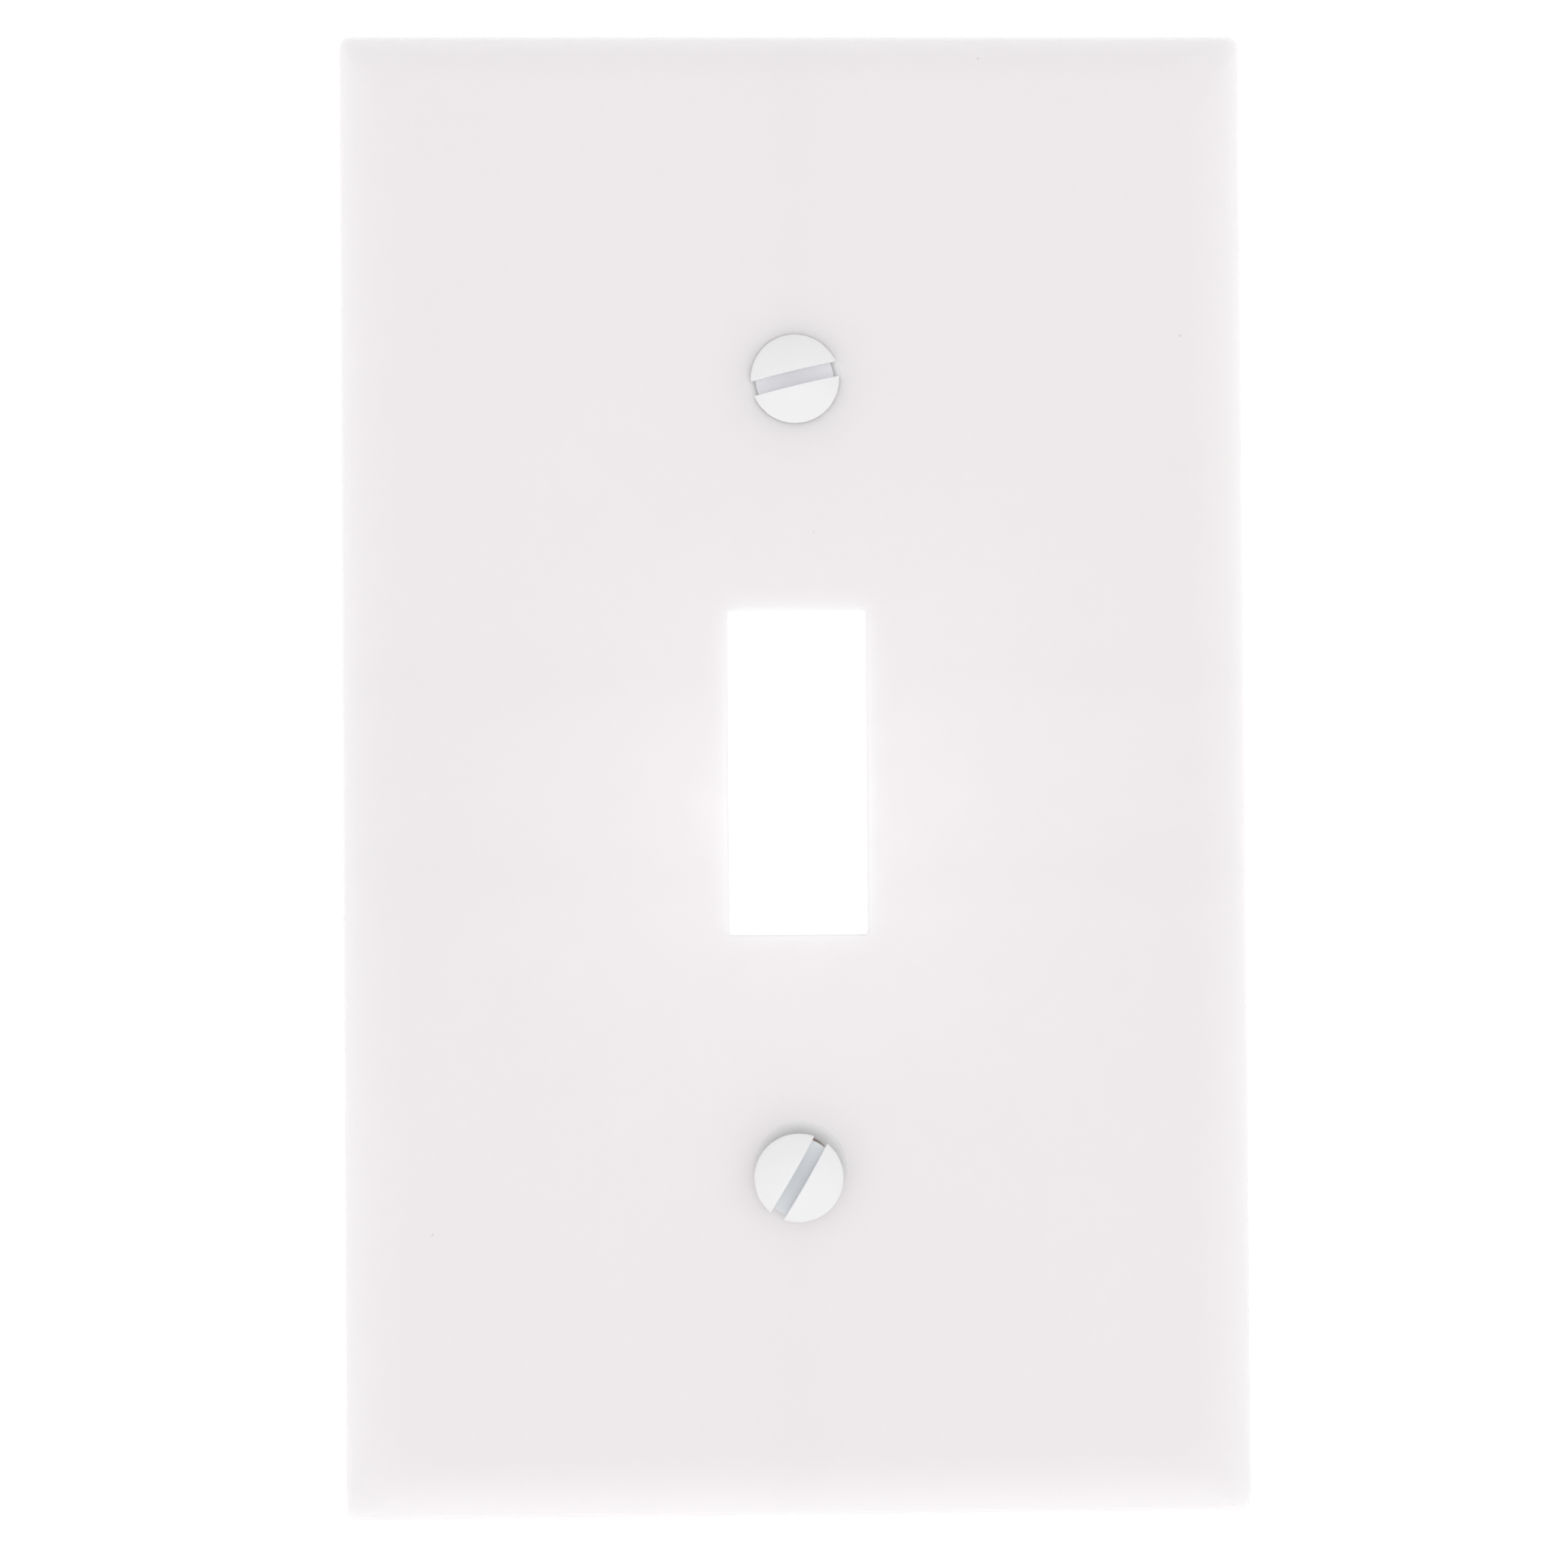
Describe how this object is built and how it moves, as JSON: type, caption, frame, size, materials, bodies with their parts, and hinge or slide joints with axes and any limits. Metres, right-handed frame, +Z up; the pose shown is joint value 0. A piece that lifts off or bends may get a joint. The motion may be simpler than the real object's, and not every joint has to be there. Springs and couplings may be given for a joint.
{
  "type": "toggle switch wall plate cover",
  "caption": "White moulded wall plate with a central toggle opening, rounded front edges and slotted oval-head screws held captive behind it, one seated and one standing proud.",
  "frame": {"origin": "On the wall plane that the rim rests on, midway between the two screw holes.", "axes": "+Z up along the plate's height, the front face looks along -Y, +Y points into the wall."},
  "size_m": [0.0698, 0.0146, 0.1142],
  "materials": {
    "cover_plate": "smooth satin white, slightly translucent",
    "top_screw": "white baked enamel head, zinc-plated thread",
    "bottom_screw": "white baked enamel head, zinc-plated thread",
    "top_retainer": "natural nylon, matt",
    "bottom_retainer": "natural nylon, matt"
  },
  "bodies": {
    "plate": {"cover_plate": "cover_plate"},
    "top_retainer_body": {"top_retainer": "top_retainer"},
    "top_screw_body": {"top_screw": "top_screw"},
    "bottom_retainer_body": {"bottom_retainer": "bottom_retainer"},
    "bottom_screw_body": {"bottom_screw": "bottom_screw"}
  },
  "joints": [
    {"name": "top_screw_slide", "type": "slide", "parent": "plate", "child": "top_retainer_body", "axis": [0, -1, 0], "range_m": [0, 0.0014]},
    {"name": "top_screw_turn", "type": "hinge", "parent": "top_retainer_body", "child": "top_screw_body", "pos_m": [0, -0.0022, 0.03016], "axis": [0, -1, 0], "continuous": true},
    {"name": "bottom_screw_slide", "type": "slide", "parent": "plate", "child": "bottom_retainer_body", "axis": [-0.0174, -0.9968, -0.0785], "range_m": [-0.00006, 0.00065]},
    {"name": "bottom_screw_turn", "type": "hinge", "parent": "bottom_retainer_body", "child": "bottom_screw_body", "pos_m": [-0.00008, -0.0011, -0.03046], "axis": [-0.0174, -0.9968, -0.0785], "continuous": true}
  ]
}
